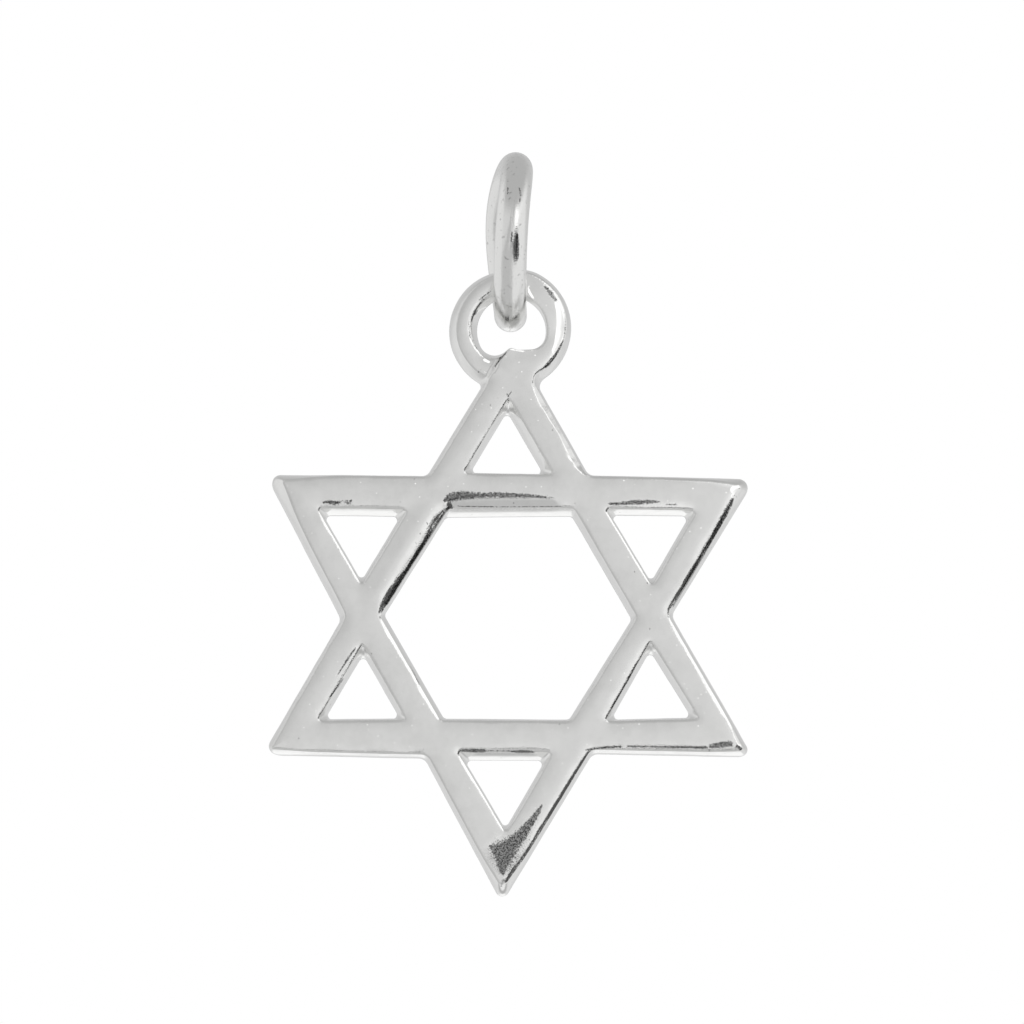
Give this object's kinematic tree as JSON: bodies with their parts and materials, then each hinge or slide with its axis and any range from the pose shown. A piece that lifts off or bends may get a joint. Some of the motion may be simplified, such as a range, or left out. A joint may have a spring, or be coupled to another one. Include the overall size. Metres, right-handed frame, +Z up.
{
  "type": "star of david pendant",
  "caption": "Cast six-pointed star of flat bars, pierced through, with a round loop at its top tip that hangs on a closed wire jump ring.",
  "frame": {"origin": "inside top of the jump ring, where a chain bears on the wire", "axes": "+Z up as the pendant hangs, -Y out of the star's face, X across the star; the star lies in the XZ plane and the jump ring in the YZ plane"},
  "size_m": [0.0134, 0.005, 0.0208],
  "materials": {
    "cast_silver": "polished cast silver with fine ripples, pits and rolled edges",
    "wire_silver": "polished drawn silver wire with light handling marks"
  },
  "bodies": {
    "ring": {"jump_ring": "wire_silver"},
    "pendant": {"star": "cast_silver"}
  },
  "joints": [
    {"name": "star_swing", "type": "hinge", "parent": "ring", "child": "pendant", "pos_m": [0, 0, -0.00362], "axis": [0, 1, 0], "range_deg": [-90, 90]}
  ]
}
